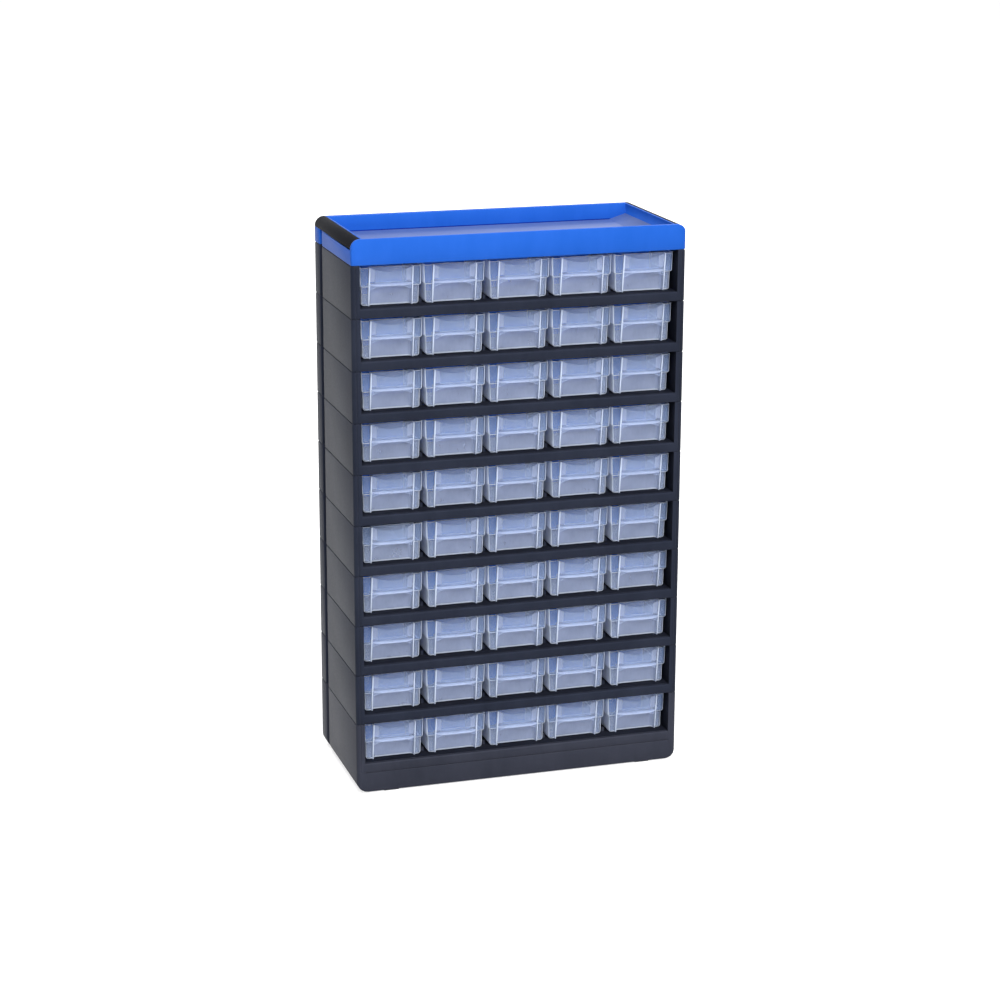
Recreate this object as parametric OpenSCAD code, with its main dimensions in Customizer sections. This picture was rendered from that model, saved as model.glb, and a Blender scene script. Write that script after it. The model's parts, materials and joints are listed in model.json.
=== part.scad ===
// Parts bin cabinet: stacked tray modules on a plinth, a shallow tool tray
// on top, and a clear drawer with its divider in every bay.
// The front faces -Y. The origin is under the middle, where the feet stand.

/* [Cabinet] */
// Overall width
cabinet_w = 300; // [260:1:340]
// Overall depth
cabinet_d = 132; // [115:1:170]
// Drawers side by side
columns = 5; // [3:1:5]
// Drawer rows, one tray module to each
rows = 10; // [4:1:10]
// Height of one module from seam to seam
module_h = 45.3; // [40:0.1:56]
// Side wall thickness, also the width of the front pillars
side_t = 7.5; // [6.5:0.1:10]
// Thickness of the front lips and rear walls
skin_t = 2.2; // [1.6:0.1:2.6]
// Height of the front lip, from the seam to the drawer floor
lip_h = 8.2; // [7:0.1:13]
// Radius of the lip's upper front edge
lip_r = 1.8; // [0.5:0.1:2]
// Thickness of the floor under the drawers
floor_t = 2.2; // [1.6:0.1:3.5]
// Radius of the upright front corners
corner_r = 3.5; // [1:0.1:3.8]
// Loose fit left between pieces that slide or plug together
fit_gap = 0.3; // [0.2:0.05:0.5]

/* [Module details] */
// Width of the upright groove in each side
groove_w = 9; // [5:0.5:12]
// Depth of the side groove
groove_d = 4.4; // [2:0.1:4.8]
// Distance from the groove to the rear face
groove_back = 18; // [15:0.5:24]
// Height of the shadow line at the top of a module
seam_h = 0.7; // [0.3:0.1:1.2]
// Depth of the shadow line
seam_in = 0.6; // [0.3:0.1:1.2]
// Width of the guide rib between two drawers
guide_w = 2.6; // [1.6:0.1:3]
// Height of the guide rib above the floor
guide_h = 4; // [2:0.1:8]
// Distance from the drawer fronts to the start of a guide rib
guide_in = 9; // [1:0.5:20]
// Width of the tongues that plug into the module above
tongue_w = 2.4; // [1.6:0.1:2.8]
// Length of a tongue
tongue_l = 7; // [5:0.5:9]
// Height of a tongue
tongue_h = 3; // [2:0.1:5]
// Distance from the front or rear face to a tongue
tongue_edge = 4.5; // [4:0.5:7]

// Width of the fine grooves along the lips and up the pillars
line_w = 0.9; // [0.5:0.1:1.5]
// Depth of those grooves
line_d = 0.5; // [0.2:0.1:0.8]
// Distance from the front face to the groove along a lip's top
lip_line = 2.6; // [2.2:0.1:5]
// Distance from the outer face to the groove in a pillar
pillar_line = 3.2; // [1.5:0.1:4]

/* [Base] */
// Height of the plinth under the lowest module
plinth_h = 18.4; // [12:0.1:30]
// Radius of the lower outer corners
base_r = 10; // [4:0.5:11]
// Size of a foot pad along the front
foot_w = 13.5; // [8:0.5:20]
// Size of a foot pad from front to rear
foot_l = 12; // [8:0.5:16]
// Height of a foot pad
foot_h = 1.4; // [1:0.1:4]
// Distance from the cabinet's side to a foot pad
foot_side = 25; // [16:0.5:40]
// Distance from the front or rear face to a foot pad
foot_end = 2.4; // [2:0.1:8]
// Thickness of the seat over a foot pad
seat_t = 3; // [2:0.1:6]
// How far the seat reaches past its foot pad
seat_edge = 2; // [0.5:0.1:4]

/* [Tool tray] */
// Height of the tray, which is the height of its front panel
tray_h = 22.2; // [19:0.1:32]
// Thickness of the front panel
fascia_t = 4; // [3.9:0.1:6]
// Length of the swept-back stretch at each end of the front panel
sweep_l = 12; // [5:0.5:20]
// How far the front panel's ends are swept back
sweep_back = 1.2; // [0.4:0.1:2]
// Thickness of the tray's rear wall
tray_rear_t = 6.3; // [3:0.1:8]
// Depth of the tray under its rim
tray_deep = 14.2; // [10:0.1:16]
// Length of the slope at each end of the tray floor
ramp_w = 16; // [8:0.5:24]
// Rise of that slope
ramp_h = 5; // [2:0.5:8]
// Width of an edge rail
rail_w = 9.4; // [8.4:0.1:11]
// Height of an edge rail
rail_h = 8.7; // [8.4:0.1:12]
// Radius of the rounded shoulders
rail_r = 8.2; // [4:0.1:8.3]
// Thickness of the tray's rim inside a rail
rim_t = 1.6; // [1.2:0.1:3]

/* [Drawer] */
// Gap between neighbouring drawers at their rims
drawer_gap = 2.6; // [2.4:0.1:4]
// Air over a drawer, under the module above
top_gap = 2.9; // [1:0.1:4]
// Air behind a closed drawer
rear_gap = 4; // [2.4:0.1:8]
// How far the drawer fronts stand behind the cabinet's front
set_back = 8; // [7.9:0.1:12]
// Wall thickness
wall_t = 1.4; // [1:0.1:2]
// Inward taper of each side from rim to step, and from step to floor
taper = 0.5; // [0.2:0.1:0.6]
// Height of the step in the walls
step_z = 16.4; // [10:0.1:20]
// Depth of the step
step_in = 1.1; // [0.3:0.1:1.4]
// Radius along the lower edges
drawer_r = 2.4; // [2:0.1:5]
// How far the front dips on each side of the label holder
front_dip = 0.8; // [0.5:0.1:5]
// How far the front stands back below the step, on each side of the cheeks
front_step = 2.3; // [0.5:0.1:3]
// Side play that neighbouring drawers make use of
play_x = 0.6; // [0:0.1:0.8]
// How unevenly the drawers are pushed home
play_y = 1.4; // [0:0.1:1.8]

/* [Label holder and finger pull] */
// Width of the label holder
label_w = 39; // [28:0.5:42]
// Distance from the drawer front to the face of the label plate at its top
label_out = 3.9; // [3.4:0.1:4.5]
// How far the leaning cheeks stand out of the stepped-back front at their foot
cheek_out = 1.4; // [0.5:0.1:2]
// How far the cheeks stand out of the label plate's face
cheek_edge = 0.3; // [0.2:0.1:0.8]
// Thickness of the label plate and of its cheeks
label_t = 1.2; // [0.8:0.1:1.6]
// Gap between the top corners of the label plate and the rim
label_drop = 0.2; // [0.2:0.1:5]
// Depth of the scoop in the label plate's top edge
scoop = 4.6; // [1:0.1:6]
// Width of the thicker band at each end of the label plate
band_w = 6; // [3:0.1:9]
// How much thicker the plate is there
band_t = 0.6; // [0.2:0.1:1]
// Height of the finger pull above the drawer's underside
pull_z = 19.3; // [12:0.1:20]
// Thickness of the finger pull
pull_t = 1.7; // [0.8:0.1:2.4]
// How far the middle of the pull bows forward of its ends
pull_bow = 5; // [1:0.1:5.4]
// Depth of the apron under the ends of the pull
apron_h = 4.2; // [0.5:0.1:5]
// Depth of the finger recess behind the drawer front
recess = 5.4; // [2:0.1:10]
// Corner radius of the finger recess
recess_r = 3; // [1:0.1:4]

/* [Divider] */
// Thickness of a divider plate
divider_t = 1.6; // [1:0.1:2.4]
// Distance from the drawer front to the divider
divider_y = 47; // [30:1:66]
// Gap between the divider's top and the drawer's rim
divider_drop = 2.5; // [1:0.1:12]
// Thickness of the ribs that hold the divider
rib_t = 1.2; // [0.8:0.1:2]
// How far the ribs stand out of the wall
rib_out = 1.6; // [1:0.1:2.5]

/* [Hidden] */
function two_digits(n) = str(n < 10 ? "0" : "", n);
function drawer_name(r, c) = str("drawer_r", two_digits(r), "_c", c);
function stack_name(k) = str("stack_trays_", k);
spacing = 5; // every fifth tray of the stack shares a node, so that none touch in it

black = "#3c3d44";
blue = "#2f66dc";
clear = "#b9c3de";
rubber = "#26272b";

front = -cabinet_d / 2;
rear = cabinet_d / 2;
bay_w = cabinet_w - 2 * side_t;
bay = [-bay_w / 2, bay_w / 2];
pitch = bay_w / columns;
base_z = foot_h + plinth_h;
tray_z = base_z + rows * module_h;
tray_floor = tray_h - tray_deep;
over = 1; // cutters run this far past the faces they cut
bite = 0.2; // joined shapes of one piece overlap by this much
groove_y = rear - groove_back - groove_w;
tongue_in = (side_t - tongue_w) / 2;
bare_drawer = [6, 1]; // row and column of the drawer that holds no divider

drawer_h = module_h - lip_h - fit_gap - top_gap;
drawer_l = cabinet_d - set_back - skin_t - rear_gap;
rim_half = (pitch - drawer_gap) / 2;
step_half = rim_half - taper;
low_half = step_half - step_in;
foot_half = low_half - taper;
label_half = label_w / 2;
label_inner = label_half - label_t;
label_top = drawer_h - label_drop;
cheek_foot = front_step - cheek_out;

// Points of an arc in the plane of a drawing, centred on c
function arc(c, r, from, to, steps = 5) =
  [for (i = [0:steps]) let (a = from + (to - from) * i / steps) c + r * [cos(a), sin(a)]];
function mirrored(points) =
  [for (i = [len(points) - 1:-1:0]) [-points[i][0], points[i][1]]];
function both_sides(points) = concat(points, mirrored(points));

// Height of the seam under a row; row 1 is at the top
function row_z(r) = base_z + (rows - r) * module_h;
function column_x(c) = (c - (columns + 1) / 2) * pitch;
// Repeatable spread between -1 and 1, so that no two drawers sit quite alike
function spread(i) = sin(137.5 * i);

module block(x, y, z)
  translate([x[0], y[0], z[0]]) cube([x[1] - x[0], y[1] - y[0], z[1] - z[0]]);

// Extrudes a drawing of the front view from y[0] to y[1]
module along_y(y)
  translate([0, y[1], 0]) rotate([90, 0, 0]) linear_extrude(y[1] - y[0]) children();

// Extrudes a drawing of the view from the right from x[0] to x[1]
module along_x(x)
  translate([x[0], 0, 0]) rotate([90, 0, 90]) linear_extrude(x[1] - x[0]) children();

module left_and_right() {
  children();
  mirror([1, 0, 0]) children();
}

// Plan of the cabinet with its rounded front corners
module plan(inset = 0) {
  half = cabinet_w / 2 - inset;
  r = corner_r - inset / 2;
  polygon(both_sides(concat(
    arc([half - r, front + inset + r], r, -90, 0),
    [[half, rear - inset]])));
}

// ---- Tray modules ----

// Solid outline of a module, with the shadow line under its top
module module_body(z_low) {
  translate([0, 0, z_low]) linear_extrude(module_h - seam_h - z_low) plan();
  translate([0, 0, module_h - seam_h - over]) linear_extrude(seam_h + over) plan(seam_in);
}

module side_grooves(z)
  left_and_right()
    block([-cabinet_w / 2 - over, -cabinet_w / 2 + groove_d], [groove_y, groove_y + groove_w], z);

// Tongues on the side walls, or with a clearance the slots that take them
module tongues(grow = 0, z = [0, tongue_h]) {
  x = -cabinet_w / 2 + tongue_in;
  ends = [front + tongue_edge, rear - tongue_edge - tongue_l];
  left_and_right()
    for (y = ends)
      block([x - grow, x + tongue_w + grow], [y - grow, y + tongue_l + grow], z);
}

// Cut along the top of a lip: its rounded edge and a fine groove
module lip_cuts() {
  top = lip_h;
  along_x(bay)
    polygon(concat(
      [[front + lip_r, top + over], [front - over, top + over], [front - over, top - lip_r]],
      arc([front + lip_r, top - lip_r], lip_r, 180, 90)));
  block(bay, [front + lip_line, front + lip_line + line_w], [top - line_d, top + over]);
}

module pillar_lines(z)
  left_and_right()
    block([-cabinet_w / 2 + pillar_line, -cabinet_w / 2 + pillar_line + line_w],
          [front - over, front + line_d], z);

module guide_ribs()
  for (c = [1:columns - 1]) {
    x = column_x(c) + pitch / 2;
    block([x - guide_w / 2, x + guide_w / 2], [front + set_back + guide_in, rear - skin_t],
          [lip_h - floor_t, lip_h + guide_h]);
  }

// One tray module: lip, floor, side walls with their grooves and rear wall
module tray_module(z_low = 0) {
  difference() {
    module_body(z_low);
    block(bay, [front - over, rear - skin_t], [lip_h, module_h + over]);
    block(bay, [front + skin_t, rear - skin_t], [z_low - over, lip_h - floor_t]);
    side_grooves([z_low - over, module_h + over]);
    lip_cuts();
    pillar_lines([z_low == 0 ? -over : 0, module_h + over]);
    if (z_low == 0)
      tongues(fit_gap, [-over, tongue_h + fit_gap]);
    children();
  }
  guide_ribs();
  translate([0, 0, module_h]) tongues(0, [-over, tongue_h]);
}

// The trays of row k and of every fifth row below it, down to the base module
module stack_trays(k)
  color(black)
    for (r = [k:spacing:rows - 1])
      translate([0, 0, row_z(r)]) tray_module();

// Repeats a shape drawn for the front left foot at all four corners
module at_feet()
  left_and_right() {
    children();
    mirror([0, 1, 0]) children();
  }

// Front view of the base module with its rounded lower corners
module base_outline()
  polygon(both_sides(concat(
    arc([cabinet_w / 2 - base_r, base_r - plinth_h], base_r, -90, 0),
    [[cabinet_w / 2, module_h + tongue_h + over]])));

// Lowest module, in one piece with the plinth
module base_module()
  color(black) translate([0, 0, base_z]) {
    intersection() {
      tray_module(-plinth_h)
        block(bay, [front - over, front + seam_in], [-seam_h, 0]);
      along_y([front - over, rear + over]) base_outline();
    }
    at_feet()
      block([-cabinet_w / 2 + foot_side - seat_edge,
             -cabinet_w / 2 + foot_side + foot_w + seat_edge],
            [front + skin_t - bite, front + foot_end + foot_l + seat_edge],
            [-plinth_h, seat_t - plinth_h]);
  }

module feet()
  color(rubber)
    at_feet()
      block([-cabinet_w / 2 + foot_side, -cabinet_w / 2 + foot_side + foot_w],
            [front + foot_end, front + foot_end + foot_l], [0, foot_h]);

// ---- Tool tray and its rails ----

// Front view of the front panel with its rounded shoulders
module fascia_outline()
  polygon(both_sides(concat(
    [[cabinet_w / 2, 0]],
    arc([cabinet_w / 2 - rail_r, tray_h - rail_r], rail_r, 0, 90, 10))));

// Plan of the tray, whose front is swept back towards both ends
module swept_plan() {
  half = cabinet_w / 2;
  radius = (pow(sweep_l, 2) + pow(sweep_back, 2)) / (2 * sweep_back);
  polygon(both_sides(concat(
    arc([half - sweep_l, front + radius], radius, -90, -90 + asin(sweep_l / radius), 6),
    [[half, rear]])));
}

// Front view of the tray behind the panel, stepped for the rails
module tray_outline() {
  half = cabinet_w / 2;
  polygon(both_sides([
    [half, 0], [half, tray_h - rail_h], [half - rail_w, tray_h - rail_h], [half - rail_w, tray_h]]));
}

// Front view of the hollow, with a slope at each end of the floor
module hollow_outline() {
  half = cabinet_w / 2 - rail_w - rim_t;
  polygon(both_sides([
    [half - ramp_w, tray_floor], [half, tray_floor + ramp_h], [half, tray_h + over]]));
}

module top_tray()
  color(blue) translate([0, 0, tray_z])
    difference() {
      intersection() {
        union() {
          along_y([front, front + fascia_t]) fascia_outline();
          along_y([front + fascia_t - bite, rear]) tray_outline();
        }
        linear_extrude(tray_h + over) intersection() {
          plan();
          swept_plan();
        }
      }
      along_y([front + fascia_t, rear - tray_rear_t]) hollow_outline();
      block(bay, [front + fascia_t, rear - skin_t], [-over, tray_floor - floor_t]);
      side_grooves([-over, tray_h - rail_h]);
      tongues(fit_gap, [-over, tongue_h + fit_gap]);
    }

module rail_outline() {
  half = cabinet_w / 2;
  polygon(concat(
    [[half - rail_w + fit_gap, tray_h], [half - rail_w + fit_gap, tray_h - rail_h], [half, tray_h - rail_h]],
    arc([half - rail_r, tray_h - rail_r], rail_r, 0, 90, 10)));
}

module edge_rail()
  color(black) translate([0, 0, tray_z])
    along_y([front + fascia_t, rear]) rail_outline();

module edge_rail_left() mirror([1, 0, 0]) edge_rail();
module edge_rail_right() edge_rail();

// ---- Drawers ----

// Front view of a drawer, drawn in by g, with its tapered and stepped sides
module drawer_outline(g = 0, top = drawer_h)
  polygon(both_sides(concat(
    arc([foot_half - drawer_r, drawer_r], drawer_r - g, -90, 0),
    [[low_half - g, step_z],
     [step_half - g, step_z + step_in],
     [rim_half - g, top]])));

// Plan of the finger recess, drawn out by g
module recess_plan(g = 0)
  polygon(both_sides(concat(
    [[label_inner + g, -over]],
    arc([label_inner - recess_r, recess - recess_r], recess_r + g, 0, 90))));

module finger_recess(g = 0, top = pull_z - pull_t)
  translate([0, 0, -over]) linear_extrude(top + over) recess_plan(g);

// Ribs on the side walls, one on each side of the divider
module divider_ribs() {
  slot = divider_t + 2 * fit_gap;
  left_and_right()
    for (y = [divider_y - rib_t, divider_y + slot])
      block([low_half - wall_t - rib_out, rim_half], [y, y + rib_t], [0, drawer_h + over]);
}

// Space inside a drawer
module drawer_cavity()
  difference() {
    along_y([wall_t, drawer_l - wall_t]) drawer_outline(wall_t, drawer_h + over);
    block([-rim_half, rim_half], [0, front_step + wall_t], [0, step_z + wall_t]);
    finger_recess(wall_t, pull_z);
    divider_ribs();
  }

// Dips in the front wall, left and right of the label holder
module front_dips()
  left_and_right()
    block([label_half, rim_half - wall_t], [-over, wall_t + over], [drawer_h - front_dip, drawer_h + over]);

// The front stands back below the step, left and right of the finger recess
module front_steps()
  left_and_right()
    block([label_inner, rim_half], [-over, front_step], [-over, step_z]);

// Front edge of the leaning cheeks at height z
function lean_y(z) = cheek_foot - (cheek_foot + label_out) * z / label_top;

// Bowed shelf that the finger hooks under, nearly straight in the middle.
// Its ends run out inside the label plate.
module pull_shelf() {
  ends = lean_y(pull_z - pull_t) + cheek_edge + bite;
  steps = 24;
  translate([0, 0, pull_z - pull_t]) linear_extrude(pull_t)
    polygon(concat(
      [[label_half, recess + bite], [-label_half, recess + bite]],
      [for (i = [0:steps]) let (across = 2 * i / steps - 1)
        [across * label_half, ends - pull_bow * (1 - pow(across, 4))]]));
}

// Plate behind the cheeks' front edges, t thick
module leaning_plate(x, t, z) {
  low = lean_y(z[0]) + cheek_edge;
  high = lean_y(z[1]) + cheek_edge;
  along_x(x) polygon([[low, z[0]], [high, z[1]], [high + t, z[1]], [low + t, z[0]]]);
}

// Upright plate beside the recess and the label plate, with a straight leaning edge
module cheek()
  along_x([label_inner, label_half])
    polygon([[cheek_foot, 0], [-label_out, label_top], [bite, label_top],
             [bite, step_z + bite], [front_step + bite, step_z + bite], [front_step + bite, 0]]);

// Front view of the label plate with its scooped top and arched apron.
// Both arcs end inside the cheeks.
module label_outline() {
  half = label_half - label_t / 2;
  low = pull_z - pull_t - bite;
  scoop_r = (pow(half, 2) + pow(scoop, 2)) / (2 * scoop);
  arch_r = (pow(half, 2) + pow(apron_h, 2)) / (2 * apron_h);
  scoop_a = asin(half / scoop_r);
  arch_a = asin(half / arch_r);
  polygon(concat(
    arc([0, label_top - scoop + scoop_r], scoop_r, -90 - scoop_a, -90 + scoop_a, 24),
    arc([0, low - arch_r], arch_r, 90 - arch_a, 90 + arch_a, 24)));
}

// Label plate with a thicker band at each end, between the two cheeks
module label_holder() {
  mid = pull_z - pull_t / 2;
  intersection() {
    along_y([-label_out - over, front_step]) label_outline();
    union() {
      leaning_plate([-label_half, label_half], label_t, [mid - apron_h - pull_t - over, label_top + over]);
      left_and_right()
        leaning_plate([label_half - band_w, label_half], label_t + band_t, [mid, label_top + over]);
    }
  }
  left_and_right() cheek();
}

module drawer_shell()
  difference() {
    union() {
      difference() {
        along_y([0, drawer_l]) drawer_outline();
        finger_recess();
        front_steps();
      }
      pull_shelf();
      label_holder();
    }
    drawer_cavity();
    front_dips();
  }

// Loose plate that stands between the ribs
module divider_plate()
  along_y([divider_y + fit_gap, divider_y + fit_gap + divider_t])
    drawer_outline(wall_t + fit_gap, drawer_h - divider_drop);

module drawer(r, c) {
  i = (r - 1) * columns + c;
  translate([column_x(c) + play_x * spread(i),
             front + set_back + play_y * (1 + spread(3 * i)) / 2,
             row_z(r) + lip_h + fit_gap]) {
    color(clear) drawer_shell();
    if ([r, c] != bare_drawer)
      color(blue) divider_plate();
  }
}

base_module();
top_tray();
edge_rail_left();
edge_rail_right();
feet();
for (k = [1:min(spacing, rows - 1)])
  stack_trays(k);
for (r = [1:rows], c = [1:columns])
  drawer(r, c);
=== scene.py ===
import math
import bpy
from mathutils import Matrix, Vector
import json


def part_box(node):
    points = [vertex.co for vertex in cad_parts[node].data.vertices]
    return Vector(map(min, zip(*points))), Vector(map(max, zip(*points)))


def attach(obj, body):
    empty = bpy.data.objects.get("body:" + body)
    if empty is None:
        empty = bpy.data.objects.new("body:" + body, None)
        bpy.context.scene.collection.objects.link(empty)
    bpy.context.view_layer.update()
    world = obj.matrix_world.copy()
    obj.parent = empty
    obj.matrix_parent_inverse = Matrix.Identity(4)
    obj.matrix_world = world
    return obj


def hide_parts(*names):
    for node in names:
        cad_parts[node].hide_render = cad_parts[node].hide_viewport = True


mm = 0.001
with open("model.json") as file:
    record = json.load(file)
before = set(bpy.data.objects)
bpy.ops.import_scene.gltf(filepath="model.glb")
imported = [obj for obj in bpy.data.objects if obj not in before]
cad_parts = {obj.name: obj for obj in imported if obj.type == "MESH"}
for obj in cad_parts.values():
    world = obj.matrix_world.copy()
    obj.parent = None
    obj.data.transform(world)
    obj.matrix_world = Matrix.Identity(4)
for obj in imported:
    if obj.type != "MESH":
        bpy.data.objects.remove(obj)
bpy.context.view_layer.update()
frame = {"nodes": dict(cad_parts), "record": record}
nodes = frame["nodes"]
scene = bpy.context.scene
print("frame loaded,", len(nodes), "nodes")


# ---------- camera ----------
# where the lens stands in mm, which way it looks in degrees, and how near and far it sees in m
camera = {
    "place": (-651.3, -2090.9, 848.1),
    "down": 14.93,
    "right": 17.34,
    "roll": 0.19,
    "lens": 90.86,
    "sensor": 36.0,
    "shiftY": -0.025,
    "sees": (0.1, 50),
}


def makeCamera():
    data = bpy.data.cameras.new("camera")
    data.lens = camera["lens"]
    data.sensor_width = camera["sensor"]
    data.shift_y = camera["shiftY"]
    data.clip_start, data.clip_end = camera["sees"]
    obj = bpy.data.objects.new("camera", data)
    scene.collection.objects.link(obj)
    turn = (Matrix.Rotation(-math.radians(camera["right"]), 4, "Z")
            @ Matrix.Rotation(math.radians(90 - camera["down"]), 4, "X")
            @ Matrix.Rotation(math.radians(camera["roll"]), 4, "Z"))
    obj.matrix_world = Matrix.Translation(Vector(camera["place"]) * mm) @ turn
    scene.camera = obj


makeCamera()
print("camera placed")


# ---------- helpers for materials ----------
# the places of a Mix node's colour sockets
mixSockets = {"share": 0, "first": 6, "second": 7, "result": 2}


def newTree(name, inputs, outputs):
    tree = bpy.data.node_groups.new(name, "ShaderNodeTree")
    for label, value in inputs:
        socket = tree.interface.new_socket(
            name=label, in_out="INPUT", socket_type="NodeSocketFloat")
        socket.default_value = value
    for label in outputs:
        tree.interface.new_socket(name=label, in_out="OUTPUT", socket_type="NodeSocketFloat")
    return tree, tree.nodes.new("NodeGroupInput"), tree.nodes.new("NodeGroupOutput")


def node(tree, kind, **values):
    made = tree.nodes.new(kind)
    for key, value in values.items():
        if key.startswith("in_"):
            made.inputs[key[3:].replace("_", " ")].default_value = value
        else:
            setattr(made, key, value)
    return made


def maths(tree, what, a, b, clamp=False):
    made = tree.nodes.new("ShaderNodeMath")
    made.operation = what
    made.use_clamp = clamp
    for place, value in enumerate((a, b)):
        if isinstance(value, (int, float)):
            made.inputs[place].default_value = value
        else:
            tree.links.new(value, made.inputs[place])
    return made.outputs[0]


def mixColour(tree, share, first, second):
    made = tree.nodes.new("ShaderNodeMix")
    made.data_type = "RGBA"
    tree.links.new(share, made.inputs[mixSockets["share"]])
    for place, value in (("first", first), ("second", second)):
        if isinstance(value, tuple):
            made.inputs[mixSockets[place]].default_value = (*value, 1)
        else:
            tree.links.new(value, made.inputs[mixSockets[place]])
    return made.outputs[mixSockets["result"]]


def useGroup(tree, group, **values):
    made = tree.nodes.new("ShaderNodeGroup")
    made.node_tree = group
    for key, value in values.items():
        made.inputs[key].default_value = value
    return made


# ---------- shared effects ----------
effects = {
    # the mask of the painted edge highlight rises this many times as fast as the edge bends, and
    # patches of noise break it up. Where it is 1, the plastic is this much smoother
    "sheen": {
        "width": 0.6 * mm, "strength": 1.0, "samples": 6, "gain": 7.0, "smoother": 0.12,
        "patchScale": 120.0, "patchDetail": 3.0, "patchGain": 0.9, "patchLeast": 0.25,
    },
    # the shares of pits and dust in the height, and the dust's scale against the pits'
    "grain": {
        "scale": 1600.0, "pits": 0.55, "dust": 0.45, "dustScale": 0.45, "dustDetail": 4.0,
        "dustRough": 0.65,
    },
    # the shares of clouds and streaks, the streaks' scale against the clouds', and between
    # which tones a solid plastic goes from its colour to its paler one
    "flow": {
        "scale": 14.0, "stretch": 0.25, "clouds": 0.6, "streaks": 0.4, "cloudDetail": 2.0,
        "streakScale": 7.0, "streakDetail": 4.0, "streakRough": 0.6, "low": 0.34, "high": 0.66,
    },
}


def makeEdgeSheen(look):
    # 1 where two faces meet, for a painted highlight along the edge and a smoother face, 0 on
    # open faces
    tree, entry, result = newTree(
        "edgeSheen", [("width", look["width"]), ("strength", look["strength"])], ["mask"])
    soft = node(tree, "ShaderNodeBevel", samples=look["samples"])
    flat = node(tree, "ShaderNodeNewGeometry")
    dot = node(tree, "ShaderNodeVectorMath", operation="DOT_PRODUCT")
    coords = node(tree, "ShaderNodeTexCoord")
    patches = node(tree, "ShaderNodeTexNoise", in_Scale=look["patchScale"],
                   in_Detail=look["patchDetail"])
    tree.links.new(entry.outputs["width"], soft.inputs["Radius"])
    tree.links.new(soft.outputs["Normal"], dot.inputs[0])
    tree.links.new(flat.outputs["Normal"], dot.inputs[1])
    tree.links.new(coords.outputs["Object"], patches.inputs["Vector"])
    bend = maths(tree, "SUBTRACT", 1.0, dot.outputs["Value"])
    edge = maths(tree, "MULTIPLY", bend, look["gain"], clamp=True)
    uneven = maths(tree, "ADD",
                   maths(tree, "MULTIPLY", patches.outputs["Fac"], look["patchGain"]),
                   look["patchLeast"], clamp=True)
    mask = maths(tree, "MULTIPLY", maths(tree, "MULTIPLY", edge, uneven),
                 entry.outputs["strength"], clamp=True)
    tree.links.new(mask, result.inputs["mask"])
    return tree


def makeMouldGrain(look):
    # the fine spark-eroded grain that the mould leaves on a face
    tree, entry, result = newTree("mouldGrain", [("scale", look["scale"])], ["height", "speckle"])
    coords = node(tree, "ShaderNodeTexCoord")
    pits = node(tree, "ShaderNodeTexVoronoi", feature="SMOOTH_F1")
    dust = node(tree, "ShaderNodeTexNoise", in_Detail=look["dustDetail"],
                in_Roughness=look["dustRough"])
    tree.links.new(coords.outputs["Object"], pits.inputs["Vector"])
    tree.links.new(coords.outputs["Object"], dust.inputs["Vector"])
    tree.links.new(entry.outputs["scale"], pits.inputs["Scale"])
    finer = maths(tree, "MULTIPLY", entry.outputs["scale"], look["dustScale"])
    tree.links.new(finer, dust.inputs["Scale"])
    height = maths(tree, "ADD", maths(tree, "MULTIPLY", pits.outputs["Distance"], look["pits"]),
                   maths(tree, "MULTIPLY", dust.outputs["Fac"], look["dust"]))
    tree.links.new(height, result.inputs["height"])
    tree.links.new(dust.outputs["Fac"], result.inputs["speckle"])
    return tree


def makeFlowTone(look):
    # broad clouds and faint upright streaks, as the melt leaves them
    tree, entry, result = newTree(
        "flowTone", [("scale", look["scale"]), ("stretch", look["stretch"])], ["tone"])
    coords = node(tree, "ShaderNodeTexCoord")
    squeeze = node(tree, "ShaderNodeCombineXYZ", in_X=1.0, in_Y=1.0)
    stretched = node(tree, "ShaderNodeVectorMath", operation="MULTIPLY")
    clouds = node(tree, "ShaderNodeTexNoise", in_Detail=look["cloudDetail"])
    streaks = node(tree, "ShaderNodeTexNoise", in_Detail=look["streakDetail"],
                   in_Roughness=look["streakRough"])
    tree.links.new(entry.outputs["stretch"], squeeze.inputs["Z"])
    tree.links.new(coords.outputs["Object"], stretched.inputs[0])
    tree.links.new(squeeze.outputs["Vector"], stretched.inputs[1])
    tree.links.new(coords.outputs["Object"], clouds.inputs["Vector"])
    tree.links.new(stretched.outputs["Vector"], streaks.inputs["Vector"])
    tree.links.new(entry.outputs["scale"], clouds.inputs["Scale"])
    finer = maths(tree, "MULTIPLY", entry.outputs["scale"], look["streakScale"])
    tree.links.new(finer, streaks.inputs["Scale"])
    tone = maths(tree, "ADD", maths(tree, "MULTIPLY", clouds.outputs["Fac"], look["clouds"]),
                 maths(tree, "MULTIPLY", streaks.outputs["Fac"], look["streaks"]))
    tree.links.new(tone, result.inputs["tone"])
    return tree


edgeSheen = makeEdgeSheen(effects["sheen"])
mouldGrain = makeMouldGrain(effects["grain"])
flowTone = makeFlowTone(effects["flow"])
print("shared effects made")


# ---------- plastics ----------
plasticIndex = 1.5

# each plastic's lightest colour is a painted highlight along its edges
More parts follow.
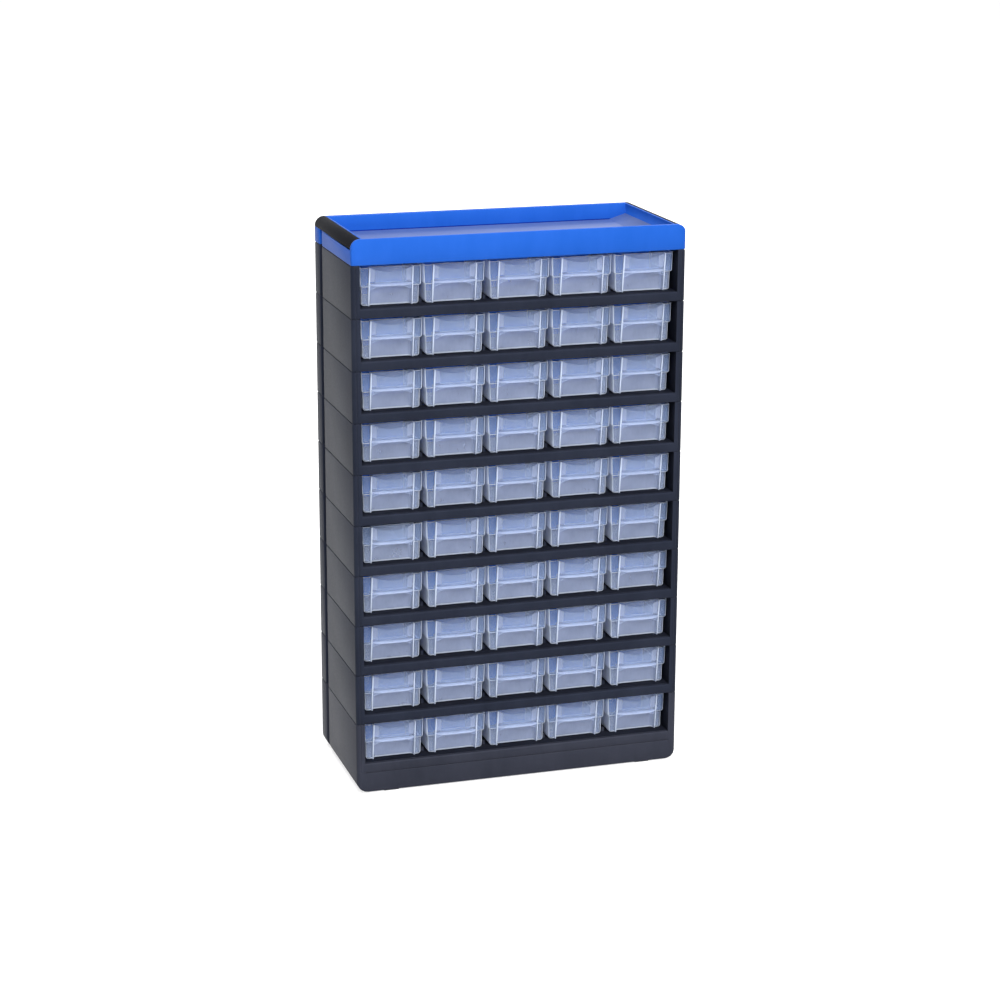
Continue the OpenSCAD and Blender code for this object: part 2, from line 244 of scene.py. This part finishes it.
solidPlastics = {
    "blackPlastic": {
        "colour": (0.0128, 0.0160, 0.0275), "pale": (0.0198, 0.0240, 0.0395),
        "edgeHighlight": (0.055, 0.061, 0.080), "rough": 0.46, "roughSpread": 0.10,
        "grainScale": 1500.0, "grainDepth": 0.010 * mm, "flowScale": 14.0,
        "edge": 0.5, "edgeWidth": 0.5 * mm, "specular": 0.04,
    },
    # the lowest module, a little paler than the trays above it
    "basePlastic": {
        "colour": (0.0250, 0.0275, 0.0400), "pale": (0.0340, 0.0370, 0.0530),
        "edgeHighlight": (0.070, 0.074, 0.092), "rough": 0.46, "roughSpread": 0.10,
        "grainScale": 1500.0, "grainDepth": 0.010 * mm, "flowScale": 14.0,
        "edge": 0.5, "edgeWidth": 0.5 * mm, "specular": 0.04,
    },
    # the inner faces of the bays, a darker black that paints the shade inside them
    "bayShadePlastic": {
        "colour": (0.0050, 0.0060, 0.0105), "pale": (0.0080, 0.0092, 0.0150),
        "edgeHighlight": (0.020, 0.022, 0.030), "rough": 0.50, "roughSpread": 0.08,
        "grainScale": 1500.0, "grainDepth": 0.008 * mm, "flowScale": 14.0,
        "edge": 0.3, "edgeWidth": 0.4 * mm, "specular": 0.04,
    },
    # the rails, of a deeper black
    "railPlastic": {
        "colour": (0.0060, 0.0066, 0.0090), "pale": (0.0095, 0.0100, 0.0130),
        "edgeHighlight": (0.040, 0.043, 0.052), "rough": 0.55, "roughSpread": 0.08,
        "grainScale": 1600.0, "grainDepth": 0.008 * mm, "flowScale": 14.0,
        "edge": 0.6, "edgeWidth": 0.5 * mm, "specular": 0.02,
    },
    # painted shade in the sharp corner between the tray's floor and its rear wall
    "creaseShadeBlue": {
        "colour": (0.004, 0.020, 0.21), "pale": (0.006, 0.028, 0.26),
        "edgeHighlight": (0.02, 0.06, 0.36), "rough": 0.50, "roughSpread": 0.08,
        "grainScale": 1700.0, "grainDepth": 0.006 * mm, "flowScale": 9.0,
        "edge": 0.1, "edgeWidth": 0.3 * mm, "specular": 0.05,
    },
    "bluePlastic": {
        "colour": (0.012, 0.088, 0.44), "pale": (0.020, 0.110, 0.52),
        "edgeHighlight": (0.08, 0.21, 0.72), "rough": 0.38, "roughSpread": 0.08,
        "grainScale": 1700.0, "grainDepth": 0.008 * mm, "flowScale": 9.0,
        "edge": 0.45, "edgeWidth": 0.6 * mm, "specular": 0.02,
    },
    # the tray's floor, a paler colour that paints the light and sheen from above, with a rougher
    # face
    "litFloorBlue": {
        "colour": (0.055, 0.096, 0.280), "pale": (0.080, 0.127, 0.320),
        "edgeHighlight": (0.12, 0.18, 0.40), "rough": 0.52, "roughSpread": 0.12,
        "grainScale": 1300.0, "grainDepth": 0.014 * mm, "flowScale": 16.0,
        "edge": 0.3, "edgeWidth": 0.6 * mm, "specular": 0.4,
    },
    "footRubber": {
        "colour": (0.020, 0.020, 0.021), "pale": (0.035, 0.035, 0.036),
        "edgeHighlight": (0.06, 0.06, 0.06), "rough": 0.78, "roughSpread": 0.12,
        "grainScale": 900.0, "grainDepth": 0.03 * mm, "flowScale": 40.0,
        "edge": 0.6, "edgeWidth": 0.4 * mm, "specular": 0.35,
    },
    "dividerPlastic": {
        "colour": (0.034, 0.175, 0.84), "pale": (0.050, 0.215, 0.92),
        "edgeHighlight": (0.12, 0.30, 0.95), "rough": 0.33, "roughSpread": 0.08,
        "grainScale": 1700.0, "grainDepth": 0.006 * mm, "flowScale": 30.0,
        "edge": 0.4, "edgeWidth": 0.4 * mm, "specular": 0.4,
    },
}


def startMaterial(name):
    material = bpy.data.materials.new(name)
    material.use_nodes = True
    return material, material.node_tree, material.node_tree.nodes["Principled BSDF"]


def speckledRough(tree, grain, look):
    return maths(tree, "ADD", look["rough"] - look["roughSpread"],
                 maths(tree, "MULTIPLY", grain.outputs["speckle"], 2 * look["roughSpread"]))


def finishPlastic(tree, shader, grain, look):
    # the grain's pits, and how much the plastic mirrors
    bump = node(tree, "ShaderNodeBump", in_Strength=1.0, in_Distance=look["grainDepth"])
    tree.links.new(grain.outputs["height"], bump.inputs["Height"])
    tree.links.new(bump.outputs["Normal"], shader.inputs["Normal"])
    shader.inputs["Specular IOR Level"].default_value = look["specular"]
    shader.inputs["IOR"].default_value = plasticIndex


def makeSolidPlastic(name):
    look = solidPlastics[name]
    material, tree, shader = startMaterial(name)
    sheen = useGroup(tree, edgeSheen, width=look["edgeWidth"], strength=look["edge"])
    grain = useGroup(tree, mouldGrain, scale=look["grainScale"])
    flow = useGroup(tree, flowTone, scale=look["flowScale"])
    clouds = node(tree, "ShaderNodeMapRange", in_From_Min=effects["flow"]["low"],
                  in_From_Max=effects["flow"]["high"])
    tree.links.new(flow.outputs["tone"], clouds.inputs["Value"])
    body = mixColour(tree, clouds.outputs["Result"], look["colour"], look["pale"])
    # the edges take the paler colour of a painted highlight
    colour = mixColour(tree, sheen.outputs["mask"], body, look["edgeHighlight"])
    tree.links.new(colour, shader.inputs["Base Color"])
    smoother = maths(tree, "SUBTRACT", speckledRough(tree, grain, look),
                     maths(tree, "MULTIPLY", sheen.outputs["mask"], effects["sheen"]["smoother"]),
                     clamp=True)
    tree.links.new(smoother, shader.inputs["Roughness"])
    finishPlastic(tree, shader, grain, look)
    return material


clearPlastics = {
    # open faces of the moulding: the share of milk straight on, and where the face turns away
    "clearPlastic": {
        "milk": (0.48, 0.60, 0.90), "bright": (0.70, 0.79, 0.98), "face": 0.26, "edge": 0.70,
        "blend": 0.35, "rough": 0.16, "roughSpread": 0.05, "specular": 0.5,
        "grainScale": 700.0, "grainDepth": 0.003 * mm,
    },
    # the outer side walls, which show in the gaps between two drawers, paler and denser as
    # painted light in those gaps
    "clearSideLit": {
        "milk": (0.70, 0.79, 1.00), "bright": (0.84, 0.90, 1.00), "face": 0.55, "edge": 0.96,
        "blend": 0.35, "rough": 0.20, "roughSpread": 0.05, "specular": 0.5,
        "grainScale": 700.0, "grainDepth": 0.003 * mm,
    },
    # the thin walls of the front, which show what is behind them
    "clearWindow": {
        "milk": (0.28, 0.50, 1.00), "bright": (0.62, 0.76, 1.00), "face": 0.12, "edge": 0.50,
        "blend": 0.35, "rough": 0.14, "roughSpread": 0.04, "specular": 0.5,
        "grainScale": 700.0, "grainDepth": 0.003 * mm,
    },
    # the plate that holds the label, and the front's face below its step
    "clearLabel": {
        "milk": (0.52, 0.62, 0.84), "bright": (0.74, 0.82, 0.96), "face": 0.14, "edge": 0.56,
        "blend": 0.35, "rough": 0.18, "roughSpread": 0.05, "specular": 0.5,
        "grainScale": 700.0, "grainDepth": 0.003 * mm,
    },
    # the finger recess and the pull over it, where the mould is left dull
    "clearFrost": {
        "milk": (0.57, 0.67, 0.95), "bright": (0.76, 0.83, 0.98), "face": 0.33, "edge": 0.66,
        "blend": 0.35, "rough": 0.34, "roughSpread": 0.08, "specular": 0.45,
        "grainScale": 900.0, "grainDepth": 0.006 * mm,
    },
    # rims and rounded corners, where the sheet gathers the light
    "clearEdge": {
        "milk": (0.74, 0.83, 1.0), "bright": (0.90, 0.94, 1.0), "face": 0.66, "edge": 0.92,
        "blend": 0.35, "rough": 0.22, "roughSpread": 0.06, "specular": 0.5,
        "grainScale": 700.0, "grainDepth": 0.003 * mm,
    },
}

# how fast the milk thickens as a face turns away, and the flow marks that make it uneven
milkLook = {"steepness": 1.6, "flowScale": 60.0, "stretch": 0.4, "least": 0.7, "gain": 0.6}


def makeClearPlastic(name):
    look = clearPlastics[name]
    material, tree, shader = startMaterial(name)
    grain = useGroup(tree, mouldGrain, scale=look["grainScale"])
    flow = useGroup(tree, flowTone, scale=milkLook["flowScale"], stretch=milkLook["stretch"])
    tilt = node(tree, "ShaderNodeLayerWeight", in_Blend=look["blend"])
    steep = maths(tree, "POWER", tilt.outputs["Facing"], milkLook["steepness"], clamp=True)
    colour = mixColour(tree, steep, look["milk"], look["bright"])
    tree.links.new(colour, shader.inputs["Base Color"])
    spread = maths(tree, "ADD", milkLook["least"],
                   maths(tree, "MULTIPLY", flow.outputs["tone"], milkLook["gain"]))
    face = maths(tree, "MULTIPLY", look["face"], spread)
    cover = maths(tree, "ADD", face,
                  maths(tree, "MULTIPLY", steep, look["edge"] - look["face"]), clamp=True)
    tree.links.new(cover, shader.inputs["Alpha"])
    tree.links.new(speckledRough(tree, grain, look), shader.inputs["Roughness"])
    finishPlastic(tree, shader, grain, look)
    return material


materials = {name: makeSolidPlastic(name) for name in solidPlastics}
materials.update({name: makeClearPlastic(name) for name in clearPlastics})
# a look along a row of drawers goes through many clear walls
scene.cycles.transparent_max_bounces = 32
print("plastics made")


# ---------- pieces from the frame, with their edges rounded ----------
# mm and degrees: what counts as one point and as one flat face, from which bend on an edge
# is rounded, in how many steps, and up to which bend two faces are shaded as one
rounding = {"onePoint": 0.002, "oneFace": 0.4, "fromBend": 38, "steps": 2, "smoothBend": 32}

# how squarely a face has to look one way to count as looking that way
facing = {"loosely": 0.5, "mostly": 0.6, "nearly": 0.8, "squarely": 0.9}


def nothingSelected():
    if bpy.context.mode != "OBJECT":
        bpy.ops.object.mode_set(mode="OBJECT")
    bpy.ops.object.select_all(action="DESELECT")


def pickUp(obj):
    nothingSelected()
    obj.select_set(True)
    bpy.context.view_layer.objects.active = obj


def openWhole(piece):
    # edit mode with all of the piece selected
    pickUp(piece)
    bpy.ops.object.mode_set(mode="EDIT")
    bpy.ops.mesh.select_all(action="SELECT")


def wholeCopy(source, name):
    # a merged copy of a frame node, its flat faces joined
    piece = bpy.data.objects.new(name, nodes[source].data.copy())
    piece.data.materials.clear()
    scene.collection.objects.link(piece)
    openWhole(piece)
    bpy.ops.mesh.remove_doubles(threshold=rounding["onePoint"] * mm)
    bpy.ops.mesh.dissolve_limited(angle_limit=math.radians(rounding["oneFace"]))
    bpy.ops.object.mode_set(mode="OBJECT")
    return piece


def evenShare(point):
    return 1.0


def weighOuterEdges(piece, share):
    # gives every edge that points outwards its share of the bevel, and leaves inner
    # corners sharp
    mesh = piece.data
    sides = {}
    for face in mesh.polygons:
        corners = list(face.vertices)
        for first, second in zip(corners, corners[1:] + corners[:1]):
            edge = tuple(sorted((first, second)))
            sides.setdefault(edge, []).append((face.normal, first, second))
    weights = mesh.attributes.new("bevel_weight_edge", "FLOAT", "EDGE")
    for edge in mesh.edges:
        around = sides.get(tuple(sorted(edge.vertices)), [])
        if len(around) != 2:
            continue
        (normal, first, second), (other, _, _) = around
        start, end = mesh.vertices[first].co, mesh.vertices[second].co
        outward = normal.cross(other).dot(end - start) > 0
        if outward and normal.angle(other, 0) > math.radians(rounding["fromBend"]):
            weights.data[edge.index].value = share((start + end) / 2)


def roundEdges(piece, width, edgeMaterial=None, share=evenShare):
    if edgeMaterial is not None:
        piece.data.materials.append(materials[edgeMaterial])
    weighOuterEdges(piece, share)
    pickUp(piece)
    bpy.ops.object.modifier_add(type="BEVEL")
    bevel = piece.modifiers[-1]
    bevel.width = width * mm
    bevel.segments = rounding["steps"]
    bevel.limit_method = "WEIGHT"
    bevel.use_clamp_overlap = False
    bevel.miter_outer = "MITER_ARC"
    if edgeMaterial is not None:
        bevel.material = len(piece.data.materials) - 1
    bpy.ops.object.modifier_apply(modifier=bevel.name)
    bpy.ops.object.shade_smooth_by_angle(angle=math.radians(rounding["smoothBend"]))


def cutLevel(piece, height):
    # a level cut round a piece, so that the faces under it can take another plastic
    openWhole(piece)
    bpy.ops.mesh.bisect(plane_co=(0, 0, height), plane_no=(0, 0, 1))
    bpy.ops.object.mode_set(mode="OBJECT")


def dress(piece, material, body, slot, *stoodFor):
    if not piece.data.materials:
        piece.data.materials.append(materials[material])
    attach(piece, body)
    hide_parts(*stoodFor)


# ---------- cabinet ----------
# plastic, slot, and the width of the rounded edges in mm
shellPieces = {
    "base_module": ("basePlastic", "black_plastic", 0.45),
    "top_tray": ("bluePlastic", "blue_plastic", 0.55),
    "edge_rail_left": ("railPlastic", "black_plastic", 0.35),
    "edge_rail_right": ("railPlastic", "black_plastic", 0.35),
    "feet": ("footRubber", "rubber", 0.25),
    **{"stack_trays_%d" % number: ("blackPlastic", "black_plastic", 0.45)
       for number in range(1, 6)},
}

# mm: from the tray's rim down to its floor and to the ends of the band where the floor's
# faces are looked for, and how much of the rear wall the floor's corner takes
trayLook = {"deep": 14.2, "bandTop": 5, "bandFoot": 20, "crease": 0.9}

# mm from the middle, beyond which a face belongs to a side wall
bayLook = {"wallFrom": 130}


def paintTray(tray):
    # the floor of the hollow is painted paler for the light and sheen from above, and its corner
    # with the rear wall is a dark line of painted shade
    rim = max(vertex.co.z for vertex in tray.data.vertices)
    floor = rim - trayLook["deep"] * mm
    crease = floor + trayLook["crease"] * mm
    bandTop, bandFoot = rim - trayLook["bandTop"] * mm, rim - trayLook["bandFoot"] * mm
    cutLevel(tray, crease)
    tray.data.materials.append(materials["litFloorBlue"])
    tray.data.materials.append(materials["creaseShadeBlue"])
    for face in tray.data.polygons:
        high = face.center.z
        onRear = face.normal.y < -facing["squarely"] and face.center.y > 0
        if face.normal.z > facing["squarely"] and bandFoot < high < bandTop:
            face.material_index = 1
        elif onRear and floor - mm < high < crease:
            face.material_index = 2


def paintBayShade(piece):
    # painted shade: side walls that face the middle, where the drawers run, and the ledge and
    # floor under the drawers take a darker black
    piece.data.materials.append(materials["bayShadePlastic"])
    for face in piece.data.polygons:
        aside = abs(face.center.x)
        beyond = aside > bayLook["wallFrom"] * mm
        inward = face.normal.x * face.center.x < -facing["squarely"] * aside
        if beyond and inward or not beyond and face.normal.z > facing["squarely"]:
            face.material_index = 1


bodies = frame["record"]["behaviour"]["bodies"]
cabinetBody = next(name for name, members in bodies.items() if "base_module" in members)
for source, (material, slot, width) in shellPieces.items():
    piece = wholeCopy(source, "round_" + source)
    roundEdges(piece, width)
    dress(piece, material, cabinetBody, slot, source)
    if source == "top_tray":
        paintTray(piece)
    elif slot == "black_plastic" and "rail" not in source:
        paintBayShade(piece)
print("cabinet dressed")


# ---------- drawers ----------
# mm, measured from the lowest corner of a drawer, which lies under the bowed pull
drawer = {
    "shellBevel": 0.9, "dividerBevel": 0.3, "height": 33.9, "middle": 27.2,
    "stepHeight": 16.4, "upperY": 6.1, "lowerY": 8.4, "recessY": 11.5, "wall": 1.4,
    "plateFoot": 7.3, "plateLean": 0.1424, "plateThick": 1.8,
    "labelHalf": 19.5, "labelInner": 18.3, "bandInner": 13.5, "sideAcross": 22.0,
    "pullLow": 17.6, "apronLow": 13.0, "bottomLine": 1.3, "bare": "drawer_r06_c1",
}

# mm that a face or an edge may lie off the place it belongs to
reach = {
    "wall": 0.1, "edge": 0.2, "plateRear": 0.3, "foot": 0.5, "plateFront": 0.6, "rim": 1.2,
    "corner": 3,
}

# shares of the shell's bevel. The front's outer uprights are rounded most. The cheeks stand
# only a little out of the label plate, so their inner edges are rounded least
bevelShares = {"upright": 0.95, "foot": 0.3, "cheek": 0.25, "other": 0.5}


def whereOnFront(point):
    # across from the drawer's middle, and how far ahead of the leaning label plate
    x, y, z = (value / mm for value in point)
    ahead = drawer["plateFoot"] - drawer["plateLean"] * z - y
    return y, z, abs(x - drawer["middle"]), ahead


def bevelShare(point):
    y, z, across, ahead = whereOnFront(point)
    onFront = y < drawer["lowerY"] + reach["foot"] and z < drawer["height"] - reach["rim"]
    if onFront and across > drawer["labelHalf"] + reach["corner"]:
        return bevelShares["upright"]
    if z < reach["edge"]:
        return bevelShares["foot"]
    if abs(across - drawer["labelInner"]) < reach["edge"] and 0 < ahead < reach["foot"]:
        return bevelShares["cheek"]
    return bevelShares["other"]


def clearPart(face):
    # which of the clear plastics a face of the drawer's shell is made of
    y, z, across, ahead = whereOnFront(face.center)
    up, out, aside = face.normal.z, -face.normal.y, abs(face.normal.x)
    outside = (face.center.x - drawer["middle"] * mm) * face.normal.x > 0
    behindLabel = across < drawer["labelInner"]
    onPlate = (-drawer["plateThick"] - reach["plateRear"] < ahead < reach["plateFront"]
               and z > drawer["apronLow"])
    inRecess = (across < drawer["labelInner"] + reach["wall"]
                and y < drawer["recessY"] + drawer["wall"] + reach["wall"])
    if (up > facing["mostly"] and z > drawer["height"] - reach["rim"]
            and across > drawer["labelInner"]):
        return "clearEdge"
    if (out > facing["loosely"] and z < drawer["bottomLine"]
            and y < drawer["recessY"] + reach["edge"]):
        return "clearEdge"
    if ahead > reach["plateFront"] and behindLabel and z > drawer["pullLow"] - reach["wall"]:
        return "clearFrost" if abs(up) < facing["squarely"] else "clearPlastic"
    if onPlate and across < drawer["labelHalf"] + reach["wall"]:
        if out > facing["loosely"] or up > facing["mostly"]:
            return "clearEdge" if across > drawer["labelInner"] else "clearLabel"
        if out < -facing["loosely"]:
            return "clearFrost" if across > drawer["bandInner"] else "clearWindow"
    if inRecess and z < drawer["pullLow"] and abs(up) < facing["squarely"]:
        return "clearFrost"
    if (out > facing["squarely"] and z < drawer["stepHeight"]
            and y < drawer["lowerY"] + reach["wall"]):
        return "clearLabel"
    if (abs(out) > facing["squarely"] and across > drawer["labelHalf"]
            and y < drawer["upperY"] + drawer["wall"] + reach["wall"]):
        return "clearWindow"
    if aside > facing["nearly"] and across > drawer["sideAcross"] and outside:
        return "clearSideLit"
    return "clearPlastic"


def softEdge(face):
    # rounded edges that are no brighter than the faces beside them: those of the label
    # plate, the pull and the feet of the cheeks
    _, z, across, ahead = whereOnFront(face.center)
    onPlateOrPull = (ahead > -drawer["plateThick"] - reach["plateRear"]
                     and z > drawer["apronLow"] - reach["foot"])
    onFoot = (drawer["labelInner"] - reach["edge"] < across < drawer["labelHalf"] + reach["edge"]
              and z < drawer["apronLow"])
    return onPlateOrPull and across < drawer["labelInner"] - reach["edge"] or onFoot


def drawerMasters():
    # the shell and the divider of one drawer, moved so that its lowest corner is at the origin
    both = wholeCopy("drawer_r01_c1", "drawerMaster")
    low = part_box("drawer_r01_c1")[0]
    both.data.transform(Matrix.Translation(-low))
    openWhole(both)
    bpy.ops.mesh.separate(type="LOOSE")
    bpy.ops.object.mode_set(mode="OBJECT")
    parts = sorted(bpy.context.selected_objects, key=lambda part: part.dimensions.y)
    divider, shell = parts[0], parts[-1]
    divider.data.materials.append(materials["dividerPlastic"])
    roundEdges(divider, drawer["dividerBevel"])
    # a cut round the shell, so that the front's lower edge can be a bright line
    cutLevel(shell, drawer["bottomLine"] * mm)
    kinds = [name for name in clearPlastics if name != "clearEdge"]
    for name in kinds:
        shell.data.materials.append(materials[name])
    roundEdges(shell, drawer["shellBevel"], edgeMaterial="clearEdge", share=bevelShare)
    kinds.append("clearEdge")
    for face in shell.data.polygons:
        if face.material_index != kinds.index("clearEdge") or softEdge(face):
            face.material_index = kinds.index(clearPart(face))
    return shell, divider


def placedCopy(master, name, place):
    piece = bpy.data.objects.new(name, master.data.copy())
    piece.data.transform(Matrix.Translation(place))
    scene.collection.objects.link(piece)
    return piece


shellMaster, dividerMaster = drawerMasters()
for source in sorted(nodes):
    if not source.startswith("drawer_"):
        continue
    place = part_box(source)[0]
    position = source.removeprefix("drawer_")
    shell = placedCopy(shellMaster, "clear_" + position, place)
    dress(shell, "clearPlastic", source, "clear_plastic", source)
    if source != drawer["bare"]:
        divider = placedCopy(dividerMaster, "divider_" + position, place)
        dress(divider, "dividerPlastic", source, "divider_plastic", source)
for master in (shellMaster, dividerMaster):
    bpy.data.objects.remove(master)
print("drawers filled in")


# ---------- floor, light ----------
studio = {
    "floorSize": 40.0, "floorColour": (0.60, 0.60, 0.60), "floorGlow": 0.74,
    "floorRough": 0.9, "floorSpecular": 0.1,
    "skyForLight": 0.32, "skyForSight": 1.0,
    # name, place in m, size in m, watts
    "lamps": [
        ("frontLamp", (-2.0, -7.2, 4.6), 3.6, 225),
        ("topLamp", (-0.6, -3.2, 6.0), 3.0, 500),
        ("fillLamp", (3.2, -5.2, 2.4), 2.6, 66),
        ("rearLamp", (4.0, 5.0, 3.5), 3.0, 260),
    ],
    # the point in m that every lamp is turned to
    "lampsAim": (0, 0, 0.25),
}


def seenByCamera(tree):
    # 1 where the camera sees it, straight on, mirrored or through a clear wall
    paths = node(tree, "ShaderNodeLightPath")
    return maths(tree, "MAXIMUM", paths.outputs["Is Camera Ray"],
                 maths(tree, "MAXIMUM", paths.outputs["Is Glossy Ray"],
                       paths.outputs["Is Transmission Ray"]))


def makeFloor():
    nothingSelected()
    bpy.ops.mesh.primitive_plane_add(size=studio["floorSize"], location=(0, 0, 0))
    floor = bpy.context.active_object
    floor.name = "floor"
    material, tree, shader = startMaterial("floorPaper")
    shader.inputs["Base Color"].default_value = (*studio["floorColour"], 1)
    shader.inputs["Roughness"].default_value = studio["floorRough"]
    shader.inputs["Specular IOR Level"].default_value = studio["floorSpecular"]
    lit = node(tree, "ShaderNodeEmission", in_Strength=studio["floorGlow"])
    both = node(tree, "ShaderNodeAddShader")
    pick = node(tree, "ShaderNodeMixShader")
    tree.links.new(shader.outputs["BSDF"], both.inputs[0])
    tree.links.new(lit.outputs["Emission"], both.inputs[1])
    tree.links.new(seenByCamera(tree), pick.inputs["Fac"])
    tree.links.new(shader.outputs["BSDF"], pick.inputs[1])
    tree.links.new(both.outputs["Shader"], pick.inputs[2])
    tree.links.new(pick.outputs["Shader"], tree.nodes["Material Output"].inputs["Surface"])
    floor.data.materials.append(material)


def makeLight():
    world = bpy.data.worlds.new("studio")
    scene.world = world
    world.use_nodes = True
    tree = world.node_tree
    sky = tree.nodes["Background"]
    sky.inputs["Color"].default_value = (1, 1, 1, 1)
    more = maths(tree, "MULTIPLY", seenByCamera(tree),
                 studio["skyForSight"] - studio["skyForLight"])
    tree.links.new(maths(tree, "ADD", studio["skyForLight"], more), sky.inputs["Strength"])
    for name, place, size, power in studio["lamps"]:
        data = bpy.data.lights.new(name, "AREA")
        data.shape = "DISK"
        data.size = size
        data.energy = power
        lamp = bpy.data.objects.new(name, data)
        scene.collection.objects.link(lamp)
        aim = (Vector(studio["lampsAim"]) - Vector(place)).to_track_quat("-Z", "Y")
        lamp.matrix_world = Matrix.Translation(Vector(place)) @ aim.to_matrix().to_4x4()


makeFloor()
makeLight()
scene.view_settings.view_transform = "Standard"
print("studio lit")
